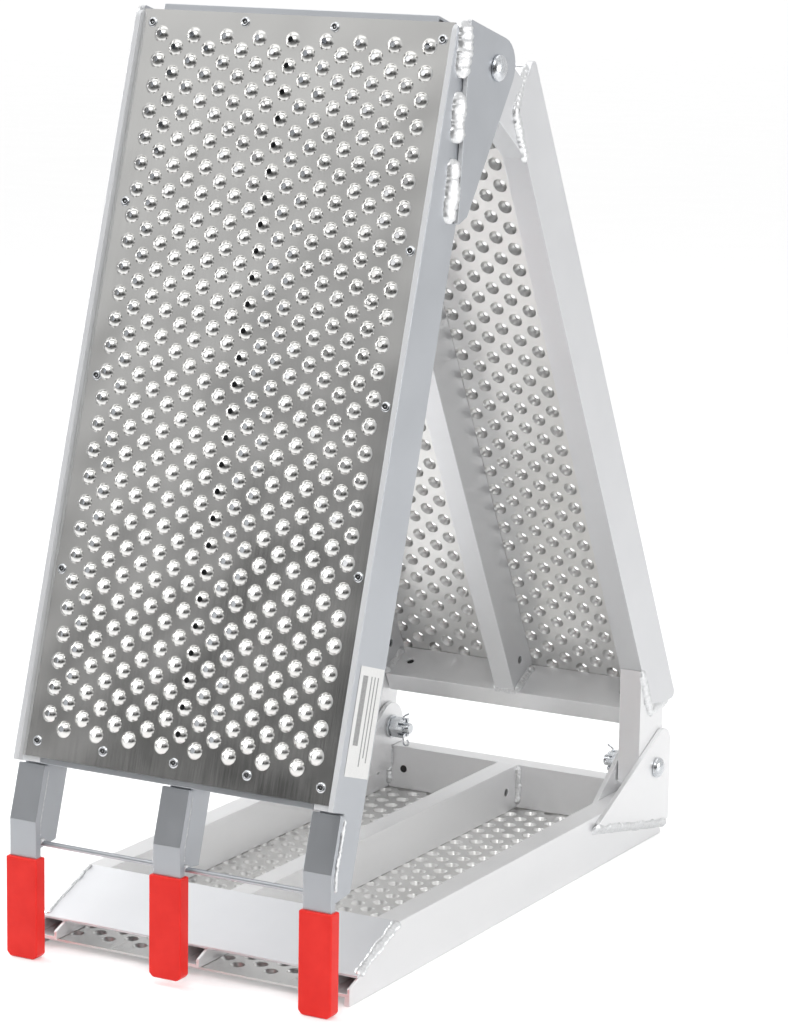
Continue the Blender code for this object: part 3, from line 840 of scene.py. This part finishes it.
def vent_shadows():
    """Dark inside of the vent holes in the lower cross-members that face the front."""
    for section, name, face, way in ((GROUND, "ground_vent_shadows", 629.2, 1.0),
                                     (MIDDLE, "middle_vent_shadows", 54.2, -1.0)):
        vertices = []
        faces = []
        for x in (-VENT_SIDE, VENT_SIDE):
            first = len(vertices)
            outline = circle(x, VENT_DEPTH, VENT_RADIUS, RIVET_SIDES)
            for back in (1.2, 2.4):
                vertices += [(across, face + way * back, depth) for across, depth in outline]
            faces += prism_faces(first, RIVET_SIDES)
        add_piece(name, vertices, faces, section, (DARK,))


CAP_CLIP = 4.0
CAP_ROUNDING = 1.8


def tip_caps():
    """Red sleeves on the finger tips, with clipped lower corners and rounded edges."""
    for word in ("left", "middle", "right"):
        node = "hook_cap_" + word
        low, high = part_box(node)
        low = low / MM
        high = high / MM
        outline = [(low.x, high.z), (low.x, low.z + CAP_CLIP), (low.x + CAP_CLIP, low.z),
                   (high.x - CAP_CLIP, low.z), (high.x, low.z + CAP_CLIP), (high.x, high.z)]
        vertices = [(x, y, z) for y in (low.y, high.y) for x, z in outline]
        faces = prism_faces(0, len(outline))
        cap = add_piece("tip_cap_" + word, vertices, faces, CAP_SPACE, (RED,))
        edge = cap.modifiers.new("soft_edges", "BEVEL")
        edge.width = CAP_ROUNDING * MM
        edge.segments = 4
        edge.limit_method = "ANGLE"
        edge.angle_limit = math.radians(30.0)
        level = cap.modifiers.new("level_faces", "WEIGHTED_NORMAL")
        level.weight = 100
        cap.data.shade_smooth()
        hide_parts(node)


# The sticker: where it starts and ends along the rail and in depth, and the same for its bars inside it.
LABEL = (552.0, 650.0, 9.0, 52.0)
LABEL_BARS = ((560.0, 622.0, 15.0, 24.0), (560.0, 640.0, 30.0, 32.0),
              (560.0, 632.0, 36.0, 38.0), (560.0, 636.0, 42.0, 44.0))
FILM_LIFT = 0.25
INK_LIFT = 0.28


def add_label():
    """A plain sticker with blank bars on the right rail of the hook section."""
    x = RAIL_FACE + 0.15
    vertices = []
    faces = []
    shades = []
    layers = [(LABEL, 0.0, FILM_LIFT, 0)] + [(bar, FILM_LIFT, INK_LIFT, 1) for bar in LABEL_BARS]
    for (start, end, low, high), base, lift, shade in layers:
        first = len(vertices)
        for level in (base, lift):
            vertices += [(x + level, start, low), (x + level, end, low), (x + level, end, high),
                         (x + level, start, high)]
        faces += prism_faces(first, 4)
        shades += [shade] * 6
    ink = dark_recess("label_ink", 0.30)
    add_piece("rail_label", vertices, faces, UPPER, (FILM, ink), 30.0, shades)


# ---------------------------------------------------------------- stage, light and camera

# Darker openings of the room: which way each is, and (closeness to it, tone) from far to near.
LEFT_OPENING = (-0.087, -0.995, -0.05)
LEFT_TONES = ((0.74, 0.76), (0.80, 0.66), (0.830, 0.17), (0.855, 0.04), (1.0, 0.02))
RIGHT_OPENING = (0.80, -0.60, 0.02)
RIGHT_TONES = ((0.82, 1.0), (0.91, 0.5), (0.975, 0.10), (1.0, 0.06))
WORLD_STRENGTH = 0.95

# The floor: half its side and its height, how much it is lifted for the camera, its own tone, and the tone that
# its mirror images fade to between two places along Y.
FLOOR_SIZE = 40.0
FLOOR_HEIGHT = -0.0004
FLOOR_LIFT = 0.30
FLOOR_TONE = (0.94, 0.94, 0.94)
FLOOR_FAR_TONE = (0.14, 0.14, 0.14)
FLOOR_FADE = (-0.65, -1.5)


def floor_fade(nodes, place):
    """From 0 to 1 toward the front of the room, and only for what mirrors the floor."""
    parts = nodes.add("ShaderNodeSeparateXYZ")
    nodes.link(place, parts.inputs["Vector"])
    fall = nodes.add("ShaderNodeMapRange", interpolation_type="SMOOTHSTEP")
    fall.inputs["From Min"].default_value = FLOOR_FADE[0]
    fall.inputs["From Max"].default_value = FLOOR_FADE[1]
    nodes.link(parts.outputs["Y"], fall.inputs["Value"])
    seen = nodes.add("ShaderNodeLightPath").outputs["Is Camera Ray"]
    mirrored_only = nodes.add("ShaderNodeMath", operation="SUBTRACT")
    mirrored_only.inputs[0].default_value = 1.0
    nodes.link(seen, mirrored_only.inputs[1])
    share = nodes.add("ShaderNodeMath", operation="MULTIPLY")
    nodes.link(fall.outputs["Result"], share.inputs[0])
    nodes.link(mirrored_only.outputs[0], share.inputs[1])
    return seen, share.outputs[0]


def floor_finish():
    """An even pale floor; what mirrors it sees its colour painted darker toward the front of the room, a
    painted shade for the darker room there.
    """
    material, nodes, shader = new_surface("studio_floor", 0.0)
    place = nodes.coordinates(0.0, (1.0, 1.0, 1.0))
    clouds = nodes.noise(place, 3.0, 2.0)
    nodes.link(nodes.spread(clouds, 0.10, 0.14), shader.inputs["Roughness"])
    seen, share = floor_fade(nodes, place)
    nodes.link(nodes.tint(share, FLOOR_TONE, FLOOR_FAR_TONE), shader.inputs["Base Color"])
    shader.inputs["Emission Color"].default_value = (1.0, 1.0, 1.0, 1.0)
    lift = nodes.add("ShaderNodeMath", operation="MULTIPLY")
    nodes.link(seen, lift.inputs[0])
    lift.inputs[1].default_value = FLOOR_LIFT
    nodes.link(lift.outputs[0], shader.inputs["Emission Strength"])
    return material


def add_floor():
    size = FLOOR_SIZE
    corners = [(-size, -size), (size, -size), (size, size), (-size, size)]
    mesh = bpy.data.meshes.new("studio_floor")
    mesh.from_pydata([(x, y, FLOOR_HEIGHT) for x, y in corners], [], [(0, 1, 2, 3)])
    mesh.materials.append(floor_finish())
    floor = bpy.data.objects.new("studio_floor", mesh)
    bpy.context.scene.collection.objects.link(floor)


def room_shade(nodes, direction, centre, tones):
    """How light the room is by closeness to one direction."""
    closeness = nodes.add("ShaderNodeVectorMath", operation="DOT_PRODUCT")
    closeness.inputs[1].default_value = Vector(centre).normalized()
    nodes.link(direction, closeness.inputs[0])
    ramp = nodes.add("ShaderNodeValToRGB")
    stops = ramp.color_ramp.elements
    stops[0].position, stops[0].color = tones[0][0], (tones[0][1],) * 3 + (1.0,)
    stops[1].position, stops[1].color = tones[-1][0], (tones[-1][1],) * 3 + (1.0,)
    for position, tone in tones[1:-1]:
        stops.new(position).color = (tone, tone, tone, 1.0)
    nodes.link(closeness.outputs["Value"], ramp.inputs["Fac"])
    return ramp.outputs["Color"]


def add_world():
    """A white studio all around, with darker openings in front and on the right."""
    world = bpy.data.worlds.new("studio")
    world.use_nodes = True
    bpy.context.scene.world = world
    nodes = Nodes(world.node_tree)
    background = world.node_tree.nodes["Background"]
    direction = nodes.add("ShaderNodeTexCoord").outputs["Generated"]
    both = nodes.add("ShaderNodeMix", data_type="RGBA", blend_type="MULTIPLY")
    both.inputs["Factor"].default_value = 1.0
    nodes.link(room_shade(nodes, direction, LEFT_OPENING, LEFT_TONES), both.inputs["A"])
    nodes.link(room_shade(nodes, direction, RIGHT_OPENING, RIGHT_TONES), both.inputs["B"])
    nodes.link(both.outputs["Result"], background.inputs["Color"])
    background.inputs["Strength"].default_value = WORLD_STRENGTH


# What the lamps point at.
ROOM_AIM = (0.0, 0.0, 0.35)
FOOT_AIM = (0.0, 0.05, 0.15)

# Name, place, aim, size and power of each lamp, and whether the metal mirrors it.
LAMPS = (
    ("top_softbox", (-0.4, 0.8, 3.4), ROOM_AIM, (2.6, 2.6), 16.0, True),
    ("left_softbox", (-2.9, -0.2, 2.3), ROOM_AIM, (1.4, 1.6), 10.0, True),
    ("high_front_softbox", (-1.2, -1.3, 2.7), ROOM_AIM, (1.2, 1.2), 7.0, True),
    ("high_right_softbox", (0.6, -1.9, 2.8), ROOM_AIM, (1.5, 1.2), 22.0, True),
    ("low_left_softbox", (-2.0, 0.25, 0.6), FOOT_AIM, (1.4, 0.9), 30.0, True),
    ("front_softbox", (2.2, -2.8, 1.1), ROOM_AIM, (1.0, 1.0), 33.0, False),
    ("low_right_softbox", (2.6, 0.5, 0.7), FOOT_AIM, (1.6, 1.0), 11.0, True),
)


def add_lights():
    """Soft rectangular lamps around the ramp."""
    for name, place, aim, size, power, mirrored_too in LAMPS:
        lamp = bpy.data.lights.new(name, "AREA")
        lamp.shape = "RECTANGLE"
        lamp.size, lamp.size_y = size
        lamp.energy = power
        holder = bpy.data.objects.new(name, lamp)
        holder.location = place
        holder.rotation_euler = (Vector(aim) - Vector(place)).to_track_quat("-Z", "Y").to_euler()
        holder.visible_glossy = mirrored_too
        bpy.context.scene.collection.objects.link(holder)


# The camera: place in metres, turns in radians, lens in millimetres, and shift as a share of the picture.
CAMERA_PLACE = (1.6496, -2.9092, 1.0339)
CAMERA_YAW = 0.5102
CAMERA_PITCH = 0.1913
CAMERA_ROLL = 0.0145
CAMERA_LENS = 123.7
CAMERA_SHIFT = (0.0081, -0.0079)


def add_camera():
    """The camera of the main view."""
    ahead = Vector((-math.sin(CAMERA_YAW) * math.cos(CAMERA_PITCH),
                    math.cos(CAMERA_YAW) * math.cos(CAMERA_PITCH), -math.sin(CAMERA_PITCH)))
    level = Vector((math.cos(CAMERA_YAW), math.sin(CAMERA_YAW), 0.0))
    above = level.cross(ahead)
    right = level * math.cos(CAMERA_ROLL) + above * math.sin(CAMERA_ROLL)
    up = right.cross(ahead)
    turn = Matrix((right, up, -ahead)).transposed()
    data = bpy.data.cameras.new("camera")
    data.lens = CAMERA_LENS
    data.shift_x, data.shift_y = CAMERA_SHIFT
    camera = bpy.data.objects.new("camera", data)
    camera.matrix_world = Matrix.Translation(CAMERA_PLACE) @ turn.to_4x4()
    bpy.context.scene.collection.objects.link(camera)
    bpy.context.scene.camera = camera


finish_cad_nodes()
dress_upper()
dress_middle()
middle_end_plates()
vent_shadows()
tip_caps()
dress_ground()
add_label()
add_floor()
add_world()
add_lights()
add_camera()
bpy.context.scene.view_settings.view_transform = "Standard"
